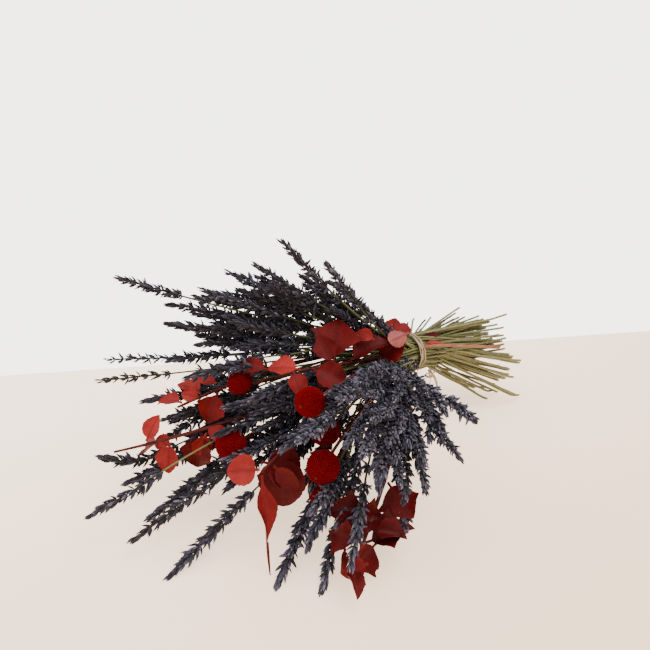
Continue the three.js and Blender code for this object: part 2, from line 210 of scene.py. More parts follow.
def resample(path, count):
    """The same path with count points, evenly spaced along its length."""
    steps = np.linalg.norm(np.diff(path, axis=0), axis=1)
    length = np.concatenate([[0], np.cumsum(steps)])
    even = np.linspace(0, length[-1], count)
    return np.stack([np.interp(even, length, path[:, k]) for k in range(3)], axis=-1)


def smooth(path, rounds=2):
    """The path with each inner point moved half way to its neighbours' middle."""
    path = path.copy()
    for _ in range(rounds):
        path[1:-1] = 0.5 * path[1:-1] + 0.25 * (path[:-2] + path[2:])
    return path


def piece(name, points, finish, attributes=None, replaced=None):
    """A mesh object from the points of tubes, which rides on the bunch and wears that finish.

    Points that would dip under the table are laid on it. A piece may replace a CAD node."""
    mesh = bpy.data.meshes.new(name)
    faces = tube_faces(*points.shape[:3])
    points = np.maximum(points.reshape(-1, 3), [-np.inf, -np.inf, TABLE_TOP])
    mesh.from_pydata(points, [], faces)
    mesh.polygons.foreach_set("use_smooth", np.ones(len(mesh.polygons), bool))
    for key, values in (attributes or {}).items():
        layer = mesh.attributes.new(key, "FLOAT", "POINT")
        layer.data.foreach_set("value", np.asarray(values, np.float32).ravel())
    mesh.materials.append(finish.material)
    mesh.update()
    made = bpy.data.objects.new(name, mesh)
    bpy.context.scene.collection.objects.link(made)
    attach(made, "root")
    if replaced:
        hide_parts(replaced)
    return made


def triangles(made):
    """How many triangles a piece has."""
    return sum(len(p.vertices) - 2 for p in made.data.polygons)


print("one tube of 3 rows and 5 sides has", len(tube_faces(1, 3, 5)), "faces")

# %% [markdown]
# ## Finishes
# Dried lavender is a dusty blue-grey, and each flower has its own shade, so a number stored on
# every flower darkens, lightens or browns it. That number also holds painted shade and light:
# nearly black at the foot of each calyx, in the hollows of the spike, paler towards the calyx
# tip, and lighter on the sprigs of the near, lit side. The down on the flowers is a sheen. The
# leaves and balls were dyed red: leaves are paler and mauve underneath, with a network of veins,
# and balls are a dense velvet, with painted shade in its hollows. A finish is a small tree of
# shader nodes that reads the piece's own numbers and its own coordinates.

# %% Helpers for finishes
class Finish:
    """A Principled material and short ways to add the nodes that feed it."""

    def __init__(self, name, roughness, **sockets):
        self.material = bpy.data.materials.new(name)
        self.material.use_nodes = True
        self.nodes = self.material.node_tree.nodes
        self.links = self.material.node_tree.links
        self.shader = self.nodes["Principled BSDF"]
        self.shader.inputs["Roughness"].default_value = roughness
        for key, value in sockets.items():
            self.shader.inputs[key.replace("_", " ")].default_value = value

    def feed(self, socket, value):
        """Link an output to a socket, or set a plain value on it."""
        if isinstance(value, bpy.types.NodeSocket):
            self.links.new(value, socket)
        else:
            socket.default_value = value

    def node(self, kind, output, inputs, **settings):
        """An output of a new node that has those inputs and settings."""
        made = self.nodes.new("ShaderNode" + kind)
        for key, value in settings.items():
            setattr(made, key, value)
        for key, value in inputs.items():
            self.feed(made.inputs[key], value)
        return made.outputs[output]

    def attribute(self, name):
        """A number stored on the piece's points."""
        return self.node("Attribute", "Fac", {}, attribute_name=name)

    def place(self, along=1):
        """Object coordinates. Their y is multiplied, which draws a pattern out along y."""
        own = self.node("TexCoord", "Object", {})
        return self.node("Mapping", "Vector", {"Vector": own, "Scale": (1, along, 1)})

    def noise(self, scale, detail=3, along=1):
        """Cloudy noise between 0 and 1."""
        return self.node("TexNoise", "Fac", {"Scale": scale, "Detail": detail,
                                             "Vector": self.place(along)})

    def net(self, scale):
        """Distance to the nearest thread of an uneven net, as fine veins make."""
        return self.node("TexVoronoi", "Distance", {"Scale": scale, "Vector": self.place()},
                         feature="DISTANCE_TO_EDGE")

    def ramp(self, value, *stops):
        """Colours at given values, blended between them."""
        node = self.nodes.new("ShaderNodeValToRGB")
        elements = node.color_ramp.elements
        while len(elements) < len(stops):
            elements.new(0.5)
        for element, (position, color) in zip(elements, stops):
            element.position = position
            element.color = (*color, 1)
        self.feed(node.inputs["Fac"], value)
        return node.outputs["Color"]

    def mix(self, factor, a, b, blend="MIX"):
        """Two colours blended by a factor."""
        values = [(*v, 1) if isinstance(v, tuple) else v for v in (factor, a, b)]
        return self.node("Mix", 2, dict(zip((0, 6, 7), values)), data_type="RGBA",
                         blend_type=blend)

    def math(self, operation, a, b, clamp=False):
        """One sum of two numbers."""
        return self.node("Math", 0, {0: a, 1: b}, operation=operation, use_clamp=clamp)

    def color(self, value):
        """The colour that the finish shows."""
        self.feed(self.shader.inputs["Base Color"], value)

    def bump(self, height, strength, distance):
        """Fine relief: brighter is higher, by that distance in metres."""
        normal = self.node("Bump", "Normal", {"Strength": strength, "Distance": distance,
                                              "Height": height})
        self.feed(self.shader.inputs["Normal"], normal)


# %% The finishes of the bunch
lavender = Finish("lavender_flowers", 0.95, Sheen_Weight=0.12, Sheen_Roughness=0.6,
                  Specular_IOR_Level=0.12)
shade = lavender.ramp(lavender.attribute("shade"), (0.0, (0.005, 0.0046, 0.006)),
                      (0.45, (0.029, 0.026, 0.037)), (0.8, (0.085, 0.079, 0.112)),
                      (1.0, (0.20, 0.19, 0.24)))
brown = lavender.mix(lavender.attribute("brown"), shade, (0.030, 0.023, 0.014))
speckle = lavender.ramp(lavender.noise(900, 2), (0.3, (0.5, 0.5, 0.52)),
                        (0.7, (1.5, 1.5, 1.55)))
lavender.color(lavender.mix(1.0, brown, speckle, "MULTIPLY"))
lavender.shader.inputs["Sheen Tint"].default_value = (0.62, 0.62, 0.78, 1)
lavender.bump(lavender.noise(2600, 2), 0.6, 0.0004)

stem = Finish("dry_stem", 0.7, Specular_IOR_Level=0.2)
streak = stem.ramp(stem.noise(1400, 3, 0.05), (0.3, (0.6, 0.6, 0.55)),
                   (0.7, (1.25, 1.22, 1.15)))
straw = stem.ramp(stem.attribute("shade"), (0.0, (0.035, 0.042, 0.018)),
                  (0.5, (0.13, 0.13, 0.052)), (1.0, (0.28, 0.26, 0.13)))
stem.color(stem.mix(1.0, straw, streak, "MULTIPLY"))
stem.bump(stem.noise(2200, 2, 0.05), 0.5, 0.0003)

velvet = Finish("craspedia_velvet", 0.9, Sheen_Weight=0.1, Sheen_Roughness=0.4,
                Specular_IOR_Level=0.05)
tuft = velvet.ramp(velvet.attribute("shade"), (0.0, (0.035, 0.0002, 0.0004)),
                   (0.5, (0.16, 0.0006, 0.001)), (1.0, (0.27, 0.003, 0.003)))
# Painted shade: cloudy dark patches in the velvet, standing in for shade in its hollows.
painted_hollow_shade = velvet.ramp(velvet.noise(500, 2), (0.35, (0.25,) * 3), (0.65, (0.0,) * 3))
velvet.color(velvet.mix(painted_hollow_shade, tuft, (0.06, 0.0004, 0.0008)))
velvet.shader.inputs["Sheen Tint"].default_value = (1.0, 0.05, 0.04, 1)
velvet.bump(velvet.noise(3000, 2), 0.5, 0.0003)


def bark_finish(name, roughness, scale, along, *stops):
    """Bark with streaks of three colours along the twig and a fine grain."""
    made = Finish(name, roughness, Specular_IOR_Level=0.2)
    made.color(made.ramp(made.noise(scale, 4, along), *stops))
    made.bump(made.noise(900, 3), 0.5, 0.0003)
    return made


bark = bark_finish("eucalyptus_bark", 0.6, 260, 0.2, (0.3, (0.03, 0.003, 0.003)),
                   (0.55, (0.09, 0.009, 0.008)), (0.75, (0.11, 0.04, 0.02)))
pale_bark = bark_finish("eucalyptus_pale_bark", 0.65, 300, 0.15, (0.3, (0.20, 0.055, 0.035)),
                        (0.5, (0.29, 0.105, 0.06)), (0.75, (0.27, 0.17, 0.09)))

leaf = Finish("eucalyptus_leaf", 0.55, Specular_IOR_Level=0.14)
leaf_top = leaf.ramp(leaf.attribute("shade"), (0.0, (0.040, 0.0012, 0.002)),
                     (0.5, (0.14, 0.0045, 0.0045)), (1.0, (0.34, 0.024, 0.021)))
leaf_under = leaf.ramp(leaf.attribute("shade"), (0.0, (0.07, 0.010, 0.013)),
                       (0.5, (0.18, 0.038, 0.038)), (1.0, (0.32, 0.09, 0.08)))
leaf_side = leaf.mix(leaf.attribute("under"), leaf_top, leaf_under)
mottle = leaf.ramp(leaf.noise(110, 4), (0.3, (0.72, 0.70, 0.70)), (0.7, (1.18, 1.2, 1.2)))
leaf_mottled = leaf.mix(1.0, leaf_side, mottle, "MULTIPLY")
fine_veins = leaf.ramp(leaf.net(420), (0.0, (0.8,) * 3), (0.12, (1.0,) * 3))
leaf_netted = leaf.mix(0.5, leaf_mottled, leaf.mix(1.0, leaf_mottled, fine_veins, "MULTIPLY"))
ribs = leaf.attribute("rib")
leaf.color(leaf.mix(leaf.math("MULTIPLY", ribs, 0.55), leaf_netted, (0.09, 0.008, 0.008)))
leaf.bump(leaf.math("ADD", leaf.math("MULTIPLY", ribs, -0.8), leaf.noise(700, 3)), 0.5, 0.0004)

raffia = Finish("raffia_fibre", 0.65)
grain = raffia.noise(1500, 4)
fibre = raffia.ramp(raffia.attribute("shade"), (0.0, (0.20, 0.14, 0.07)), (1.0, (0.42, 0.33, 0.20)))
streaks = raffia.ramp(grain, (0.3, (0.65,) * 3), (0.7, (1.2,) * 3))
raffia.color(raffia.mix(1.0, fibre, streaks, "MULTIPLY"))
raffia.bump(grain, 0.6, 0.0003)
print("finishes:", len(bpy.data.materials))

# %% [markdown]
# ## The stems that the model doesn't hold
# The model has the 24 sprigs that give the bunch its outline. A real bunch has some five
# times as many more, packed between them. Each is given here by its tip alone: slope to the
# side, slope upwards and share of the bunch's reach, in hundredths. A stem runs straight from
# its cut end to the tie and bows out from there to its tip. Then all of them are pushed apart,
# slice by slice along the bunch, until stems, flower spikes, balls and leaves lie beside each
# other, as they do in the hand that tied them.

# %% Tips of the inner sprigs
FILL = np.array([
    # high on the far side
    [-69, 36, 62], [-72, 45, 56], [-74, 32, 54], [-66, 52, 52], [-62, 44, 53], [-60, 60, 46],
    [-55, 49, 50], [-50, 62, 46], [-69, 53, 43], [-69, 68, 38], [-56, 61, 37], [-50, 78, 35],
    [-70, 24, 52], [-54, 34, 50], [-53, 33, 44], [-44, 86, 32], [-27, 85, 30], [-31, 66, 31],
    [-31, 105, 30], [-70, 42, 46], [-44, 28, 58], [-56, 18, 62], [-62, 10, 66], [-79, 70, 40],
    # the row below them
    [-70, 20, 59], [-66, 14, 55], [-49, 23, 56], [-48, 24, 48], [-36, 11, 66], [-40, 17, 58],
    [-40, 19, 52], [-25, 1, 59],
    # the far flank
    [-47, -13, 72], [-54, -12, 65], [-46, -12, 74], [-44, -22, 70], [-51, -21, 62], [-29, -2, 63],
    [-22, -3, 62], [-17, -7, 61], [-44, -31, 63], [-60, -2, 62], [-66, -14, 56], [-23, -16, 63],
    [-13, -13, 60], [-10, -6, 58], [-12, -1, 55], [-31, -14, 65], [-8, -16, 57], [-26, -22, 64],
    [-5, -5, 54],
    # low inside the head, under the leaves
    [-13, -36, 60], [-4, -42, 57], [-19, -28, 61], [6, -43, 55], [18, -43, 50], [27, -35, 49],
    [10, -34, 53], [-16, -37, 66], [-30, -20, 68], [-36, -17, 72], [-20, -11, 68], [-38, -26, 68],
    [-16, -20, 70], [-26, -8, 56], [-7, -24, 62], [2, -20, 58], [-34, -4, 50], [-24, -12, 48],
    [2, -30, 64], [12, -16, 56], [-42, -17, 80], [-22, -30, 74], [-32, -26, 78], [20, -28, 62],
    # low in front
    [-24, -31, 88], [-40, -29, 86], [-30, -33, 83], [29, -24, 74], [31, -34, 70], [34, -36, 62],
    # the near flank, which points at whoever looks at the bunch
    [80, -24, 47], [78, -4, 34], [84, -18, 42], [72, -12, 44], [74, -28, 50], [66, -25, 50],
    [28, 6, 76], [38, 22, 66], [43, 8, 66], [48, 18, 56], [55, 11, 54], [62, 1, 50],
    [46, 10, 62], [52, 1, 58], [66, 5, 43], [40, 26, 58], [46, 28, 50], [58, 22, 42],
    [72, 10, 36], [76, -4, 40], [64, -10, 49], [56, -8, 55], [48, -2, 62], [58, 15, 46],
    [60, -18, 54], [50, -16, 58], [150, -9, 24], [117, -15, 27], [101, -20, 32], [130, -5, 25],
    # close to the tie
    [13, 11, 38], [10, 3, 43], [26, 15, 33], [30, 10, 38], [38, 20, 30], [16, 3, 50],
]) / 100
HEAD_REACH = 260 * MM
STEM_REACH = 160 * MM
STEM_DROP = 0.21
print(len(FILL), "inner sprigs")

# %% Paths of the inner sprigs
STATIONS = np.linspace(-0.25, 0.175, 86)
WAIST_ROOM = 15.2 * MM
STEM_SPACE = 2.15 * MM


def slices(path):
    """Where a path stands across the bunch (x and z from the tie) at each slice along it.

    Beyond the path's ends the value is that of the nearer end."""
    order = np.argsort(path[:, 1])
    y = path[order, 1] - TIE[1]
    return np.stack([np.interp(STATIONS, y, path[order, k] - TIE[k]) for k in (0, 2)], axis=-1)


def bow(row, waist, cut):
    """A straight line from the cut end to the waist, then a quadratic curve to the tip."""
    side, rise, reach = row
    tip = np.array([side, -1, rise]) * reach * HEAD_REACH
    flat = np.array([side * 0.72, -1, rise * 0.72]) * 0.5 * reach * HEAD_REACH + waist
    t = np.linspace(0, 1, 40)[1:, None]
    curve = (1 - t) ** 2 * waist + 2 * t * (1 - t) * flat + t ** 2 * tip
    straight = cut + (waist - cut) * np.linspace(0, 1, 24)[:, None]
    return np.vstack([straight, curve]) + TIE


def spots(taken, count):
    """Free places in the waist: a honeycomb within the tie, away from the model's stems."""
    i, j = np.meshgrid(np.arange(-9, 10), np.arange(-9, 10))
    grid = np.stack([(i + 0.5 * j) * STEM_SPACE, j * STEM_SPACE * 0.866], axis=-1).reshape(-1, 2)
    grid = grid[np.linalg.norm(grid, axis=1) < WAIST_ROOM]
    room = np.linalg.norm(grid[:, None] - taken[None], axis=2).min(axis=1)
    return grid[np.argsort(-room)][:count]


FIXED, FIXED_RADII = zip(*(LAVENDER + CRASPEDIA + TWIGS))
fixed_slices = np.stack([slices(m) for m in FIXED], axis=1)
waist_slice = int(np.argmin(abs(STATIONS)))
free = spots(fixed_slices[waist_slice], len(FILL))
lean = FILL[:, :2].mean(axis=0)
fans = FILL[:, :2] - lean
wideness = np.linalg.norm(fans, axis=1)
wish = 11 * MM * np.stack([fans[:, 1], -fans[:, 0]], axis=1) / (1 + 0.5 * wideness)[:, None]
waists = np.empty_like(wish)
left = np.ones(len(free), bool)
for index in np.argsort(-wideness):
    far = np.where(left, np.linalg.norm(free - wish[index], axis=1), np.inf)
    waists[index] = free[np.argmin(far)]
    left[np.argmin(far)] = False

rng = np.random.default_rng(11)
fill_paths = []
for index, row in enumerate(FILL):
    back = STEM_REACH * (0.72 + 0.26 * rng.random())
    fan = fans[index] * (0.36 + 0.25 * rng.random()) + rng.normal(0, 0.03, 2)
    waist = np.array([waists[index][0], 0, waists[index][1]])
    cut = waist + np.array([-fan[0], 1, -fan[1] - STEM_DROP]) * back
    fill_paths.append(bow(row, waist, cut))
print("free places in the waist:", len(free))

# %% Push the inner sprigs apart
SPIKE = 66 * MM
INNER_STEM, INNER_HEAD = 1.05 * MM, 4.1 * MM
LEAF_ROOM = 2.6 * MM
ABOVE_TABLE = 4.5 * MM
ROUNDS = 120
MOST_SHIFT = 1.5 * MM
fill_slices = np.stack([slices(p) for p in fill_paths], axis=1)
fill_y = np.array([[p[:, 1].min(), p[:, 1].max()] for p in fill_paths]) - TIE[1]
fill_spikes = SPIKE * (0.75 + 0.35 * rng.random(len(FILL)))
fill_spikes = np.minimum(fill_spikes, 0.7 * HEAD_REACH * FILL[:, 2])


def thickness(y_low, y_high, spike_y, stem_radius, head_radius):
    """Radius of each stem at each slice: 0 beyond its ends, thick along its head."""
    here = (STATIONS[:, None] > y_low) & (STATIONS[:, None] < y_high)
    return here * np.where(STATIONS[:, None] < y_low + spike_y, head_radius, stem_radius)


slope = 1 / np.sqrt(1 + (FILL[:, :2] ** 2).sum(axis=1))
fill_thick = thickness(fill_y[:, 0], fill_y[:, 1], fill_spikes * slope, INNER_STEM,
                       INNER_HEAD)
fixed_y = np.array([[m[:, 1].min(), m[:, 1].max()] for m in FIXED]) - TIE[1]
head_long = np.array([m[0, 1] - m[min(7, len(m) - 1), 1] for m in FIXED])
head_wide = np.array([max(r[:7].max() * 0.85, 1.1 * MM) for r in FIXED_RADII])
fixed_thick = thickness(fixed_y[:, 0], fixed_y[:, 1], abs(head_long), 1.2 * MM, head_wide)
leaf_corners = np.vstack([merged(name)[0] for name in named("eucalyptus_leaf")]) - TIE


def spread(values, rounds):
    """Values averaged with those of the neighbouring slices, again and again."""
    for _ in range(rounds):
        padded = np.concatenate([values[:1], values, values[-1:]])
        values = 0.5 * values + 0.25 * (padded[:-2] + padded[2:])
    return values


def pushes(moving, moving_thick, others, others_thick, both):
    """How far each moving stem has to shift, slice by slice, to clear the others.

    Two stems closer than the sum of their radii are moved straight apart, each by half of
    what is missing, or one by all of it where the other is fixed."""
    gap = moving[:, :, None] - others[:, None]
    far = np.linalg.norm(gap, axis=3)
    need = moving_thick[:, :, None] + others_thick[:, None]
    need = need * (moving_thick[:, :, None] > 0) * (others_thick[:, None] > 0)
    short = np.clip(need - far, 0, None) * (far > 1e-7)
    return (gap / np.maximum(far, 1e-7)[..., None] * (short * both)[..., None]).sum(axis=2)


head_slices = np.flatnonzero(STATIONS < -0.02)
near_leaves = [leaf_corners[abs(leaf_corners[:, 1] - y) < 3.5 * MM]
               for y in STATIONS[head_slices]]
for turn in range(ROUNDS):
    shift = pushes(fill_slices, fill_thick, fill_slices, fill_thick, 0.5)
    shift += pushes(fill_slices, fill_thick, fixed_slices, fixed_thick, 1.0)
    if turn % 4 == 0:
        for index, near in zip(head_slices, near_leaves):
            if len(near):
                here = slice(index, index + 1)
                shift[here] += pushes(fill_slices[here], fill_thick[here] * 0.8, near[None, :, ::2],
                                      np.full((1, len(near)), LEAF_ROOM), 0.5)
    shift = spread(np.clip(shift, -MOST_SHIFT, MOST_SHIFT), 6)
    fill_slices += 0.6 * shift
    waist_out = np.linalg.norm(fill_slices[waist_slice], axis=1)
    held = np.minimum(1, WAIST_ROOM / waist_out)
    fill_slices[waist_slice - 2:waist_slice + 3] *= held[None, :, None]
    floor_gap = fill_slices[..., 1] + TIE[2] - ABOVE_TABLE
    fill_slices[..., 1] -= np.minimum(floor_gap, 0)
fill_slices = spread(fill_slices, 3)
print("largest push left:", round(float(abs(shift).max() / MM), 2), "mm")


def settled(index):
    """One inner sprig's path after the pushes, from cut end to tip."""
    y_low, y_high = fill_y[index]
    y = np.linspace(y_high, y_low, STEM_ROWS)
    x, z = (np.interp(y, STATIONS, fill_slices[:, index, k]) for k in (0, 1))
    return resample(smooth(np.stack([x, y, z], axis=-1), 3) + TIE, STEM_ROWS)


# %% [markdown]
# ## Lavender
# A flower spike is a row of whorls: rings of small ribbed calyces, close together near the
# tip, with the lowest ring often alone on the bare stem. One calyx is a short tube of five
# sides that swells, closes to a point and bends towards the tip. A spike has more than a
# hundred, so the calyx is worked out once and copied by arithmetic, each with its own place,
# lean, size and shade, and one mesh holds the whole spike. Copies of objects would look the
# same but would make thousands of them.

# %% One calyx
CALYX_SIDES = 5
CALYX_WIDTH = 0.125
CALYX_BEND = 0.16
CALYX_ROWS = np.array([[0.0, 0.35], [0.14, 0.8], [0.36, 1.0], [0.62, 0.9], [0.84, 0.55],
                       [1.0, 0.06]])


def calyx():
    """A slender bud one unit long: radius by height, and a bend that grows with its square."""
    height, radius = CALYX_ROWS.T
    angle = once_round(CALYX_SIDES) + 0.3 * height[:, None]
    wide = CALYX_WIDTH * radius[:, None]
    x = wide * np.cos(angle)
    y = wide * np.sin(angle) - CALYX_BEND * height[:, None] ** 2
    z = np.broadcast_to(height[:, None], x.shape)
    return np.stack([x, y, z], axis=-1).reshape(-1, 3)


CALYX = calyx()
print("one calyx:", len(CALYX), "points")

# %% One flower spike
WHORL_GAP, LOOSE_GAP = 6.6 * MM, 7.5 * MM
FULL_WHORL, WHORL, TIP_WHORLS = 14, 12, (7, 10)
TIP_LEAN, ADDED_LEAN = 18, 36
TIP_CALYX, ADDED_CALYX = 5.2 * MM, 1.4 * MM


def whorl_places(length, loose, draw):
    """Distances of the whorls from the tip, closer together towards it.

    The lowest one often stands alone, further down the stem."""
    count = int(round(length / (LOOSE_GAP if loose else WHORL_GAP))) + 1
    share = np.linspace(0, 1, count) ** 1.12
    places = share * length * 0.93 + 0.02 * length
    if draw.random() < (1.0 if loose else 0.55):
        places[-1] += draw.uniform(8, 15) * MM * (1.7 if loose else 1)
    return places


def spike_points(path, length, tone, brown, full, draw, loose=False):
    """Points, shades and browning of every calyx on one spike.

    A calyx stands on the stem at its whorl's place. Its direction is the stem's direction
    turned outwards by its lean, and its own bend turns it back towards the tip."""
    steps = np.linalg.norm(np.diff(path, axis=0), axis=1)
    reach = np.concatenate([[0], np.cumsum(steps)])

    def along_path(distance):
        return np.stack([np.interp(distance, reach, path[:, k]) for k in range(3)], axis=-1)

    places = reach[-1] - whorl_places(length, loose, draw)
    tall = len(places)
    per = np.full(tall, FULL_WHORL if full > 0.5 else WHORL)
    per[:2] = TIP_WHORLS
    if loose:
        per = per // 2
    whorl = np.repeat(np.arange(tall), per)
    order = np.concatenate([np.arange(n) for n in per])
    around = 2 * np.pi * order / per[whorl] + whorl * 0.9 + draw.normal(0, 0.3, len(whorl))
    tier = order % 2
    share = whorl / (tall - 1)
    lean = np.radians(TIP_LEAN + ADDED_LEAN * np.clip(share * 3, 0, 1)) * (1.12 - 0.45 * tier)
    lean = lean * draw.normal(1.0, 0.26, len(whorl))
    size = TIP_CALYX + ADDED_CALYX * np.clip(share * 2.5, 0, 1)
    size = size * draw.normal(1.0, 0.15, len(whorl))
    size *= (0.88 + 0.2 * full) * (0.8 if loose else 1)
    spot = places[whorl] + (tier * 1.5 - 0.7) * MM + draw.normal(0, 0.8, len(whorl)) * MM
    spot = np.minimum(spot, reach[-1] - 0.3 * MM)
    centre = along_path(spot)
    ahead = unit(along_path(np.minimum(spot + MM, reach[-1])) - along_path(spot - MM))
    side = unit(np.cross(ahead, [0.0, 0.0, 1.0]))
    up = np.cross(side, ahead)
    out = np.cos(around)[:, None] * side + np.sin(around)[:, None] * up
    axis = np.cos(lean)[:, None] * ahead + np.sin(lean)[:, None] * out
    back = unit(out - (out * axis).sum(axis=1)[:, None] * axis)
    across = np.cross(back, axis)
    fat = draw.normal(1.0, 0.14, len(whorl)) * 1.12
    stretch = np.stack([fat, fat, np.ones_like(fat)], axis=-1) * size[:, None]
    local = CALYX[None] * stretch[:, None]
    points = centre[:, None] + out[:, None] * 0.7 * MM
    points = points + local[..., :1] * across[:, None] + local[..., 1:2] * back[:, None]
    points = points + local[..., 2:] * axis[:, None]
    height = np.repeat(CALYX_ROWS[:, 0], CALYX_SIDES)
    # Painted shade and light: each calyx is darker at its foot, in the hollows of the whorl, and
    # lighter towards its tip.
    shade = tone + draw.normal(0, 0.17, len(whorl))[:, None] + 0.30 * (height - 0.55)
    pale = (draw.random(len(whorl)) < 0.12)[:, None] * (height > 0.8) * 0.3
    browning = np.clip(brown + draw.normal(0, 0.16, len(whorl)), 0, 0.9)[:, None]
    browning = browning * (1 - 0.5 * height)
    points = points.reshape(len(whorl), len(CALYX_ROWS), CALYX_SIDES, 3)
    return points, np.clip(shade + pale, 0.02, 1).ravel(), browning.ravel()


def lavender_stem_radii(path):
    """Radius along a stem: thick at its cut end, thinner towards its tip, with faint joints."""
    share = np.linspace(0, 1, len(path))
    joint = sum(0.14 * np.exp(-((share - place) / 0.008) ** 2) for place in (0.32, 0.62))
    return (1.15 - 0.55 * share + joint) * MM


STEM_SIDES = 8


def sprigs(name, paths, lengths, tones, browns, draw, loose=False, replaced=None):
    """One piece of flower spikes and one of their stems, for one or more sprigs.

    The stem is painted dark within the spike, as shade under its calyces, and darker on the head's
    side of the tie, as shade under the head, so it is at its darkest near the tip."""
    parts = [spike_points(p, n, t, b, draw.random(), draw, loose)
             for p, n, t, b in zip(paths, lengths, tones, browns)]
    points = np.vstack([part[0] for part in parts])
    attributes = {"shade": np.concatenate([part[1] for part in parts]),
                  "brown": np.concatenate([part[2] for part in parts])}
    spikes = piece(f"lavender_spike_{name}", points, lavender, attributes, replaced)
    lines = np.stack([resample(p, STEM_ROWS) for p in paths])
    radii = np.stack([lavender_stem_radii(line) for line in lines])
    radii[:, -1] = 0.15 * MM
    skin = tubes(lines, radii, STEM_SIDES, square=0.08)
    pale = np.clip(0.60 + draw.normal(0, 0.2, (len(paths), 1, 1)), 0, 1)
    # Painted shade: stems are darker on the head's side of the tie and darker still inside their
    # spikes.
    ahead = np.clip((TIE[1] - lines[..., 1]) / 0.1, 0, 1)[..., None]
    to_tip = np.linalg.norm(lines - lines[:, -1:], axis=-1)
    inside = np.clip((np.array(lengths)[:, None] - to_tip) / (6 * MM), 0, 1)[..., None]
    shade = np.broadcast_to(pale - 0.3 * ahead - 0.5 * inside, skin.shape[:3]).copy()
    shade[:, 0] = 0.95
    stems = piece(f"lavender_stem_{name}", skin, stem,
                  {"shade": np.clip(shade, 0, 1)}, replaced)
    return triangles(spikes) + triangles(stems)


# %% The sprigs of the model
def line_of(middles):
    """A model stem's centre line from cut end to tip, evenly spaced and smoothed."""
    return resample(smooth(resample(middles[::-1], STEM_ROWS), 3), STEM_ROWS)


def lit_side_share(path):
    """How far a tip is on the near side of the tie, where the light falls: -0.6 to 1. It paints
    light on the spikes: lighter on the near side, darker on the far side.
    """
    return np.clip((path[-1, 0] - TIE[0]) / 0.1, -0.6, 1)


THIN = ("lavender_09", "lavender_10")
total = 0
for index, (middles, _) in enumerate(LAVENDER):
    draw = np.random.default_rng(100 + index)
    path = line_of(middles)
    head = np.linalg.norm(middles[6] - middles[0])
    # Painted light: a sprig on the near, lit side of the tie is made lighter, one on the far side
    # darker.
    tone = 0.55 + 0.14 * lit_side_share(path) + draw.normal(0, 0.05)
    node = named("lavender")[index]
    thin = node in THIN
    total += sprigs(node[-2:], [path], [head * (0.85 if thin else 1)], [tone],
                    [0.75 if thin else draw.choice([0.1, 0.1, 0.45])], draw, thin, node)
print("sprigs of the model:", len(LAVENDER), "with", total, "triangles")

# %% The inner sprigs
def bent(path, spike, aside):
    """A path whose flowering end bends aside, by the square of how far up the spike it is."""
    to_tip = np.linalg.norm(path - path[-1], axis=1)
    return path + np.clip(1 - to_tip / (1.4 * spike), 0, 1)[:, None] ** 2 * aside


total = 0
GROUP = 4
ASIDE = 5.5 * MM
for first in range(0, len(FILL), GROUP):
    members = list(range(first, min(first + GROUP, len(FILL))))
    draw = np.random.default_rng(300 + first)
    paths = [bent(settled(i), fill_spikes[i], draw.normal(0, ASIDE, 3)) for i in members]
    # Painted light: sprigs on the near, lit side of the tie are made lighter, those on the far side
    # darker.
    tones = [0.53 + 0.19 * lit_side_share(path) + draw.normal(0, 0.06) for path in paths]
    browns = draw.choice([0.08, 0.1, 0.4], len(members))
    total += sprigs(f"inner_{first // GROUP + 1:02d}", paths, fill_spikes[members], tones,
                    browns, draw)
print("inner sprigs:", len(FILL), "with", total, "triangles")

# %% [markdown]
# ## Craspedia
# A craspedia is a ball of hundreds of tiny florets on one bare stem. Points on a sphere that
# turn by the golden angle from pole to pole are evenly spread with no rows, just as the real
# florets are. Each floret is a low dome of a few faces, painted darker at its foot and lighter
# at its top, on a core painted much darker: painted shade in the gaps between florets.

# %% Balls of florets
FLORETS = 900
FLORET_SIDES = 6
FLORET_ROWS = np.array([[-0.5, 1.0], [0.35, 0.95], [0.8, 0.62], [1.0, 0.12]])
CORE_ROWS, CORE_SIDES = 18, 24
TWIG_SIDES = 10
BALL_TONE = 0.5


def golden(count):
    """Unit directions: height falls evenly from 1 to -1 while the angle grows by 2.39996."""
    k = np.arange(count) + 0.5
    height = 1 - 2 * k / count
    angle = k * math.pi * (3 - math.sqrt(5))
    flat = np.sqrt(1 - height ** 2)
    return np.stack([flat * np.cos(angle), flat * np.sin(angle), height], axis=-1)


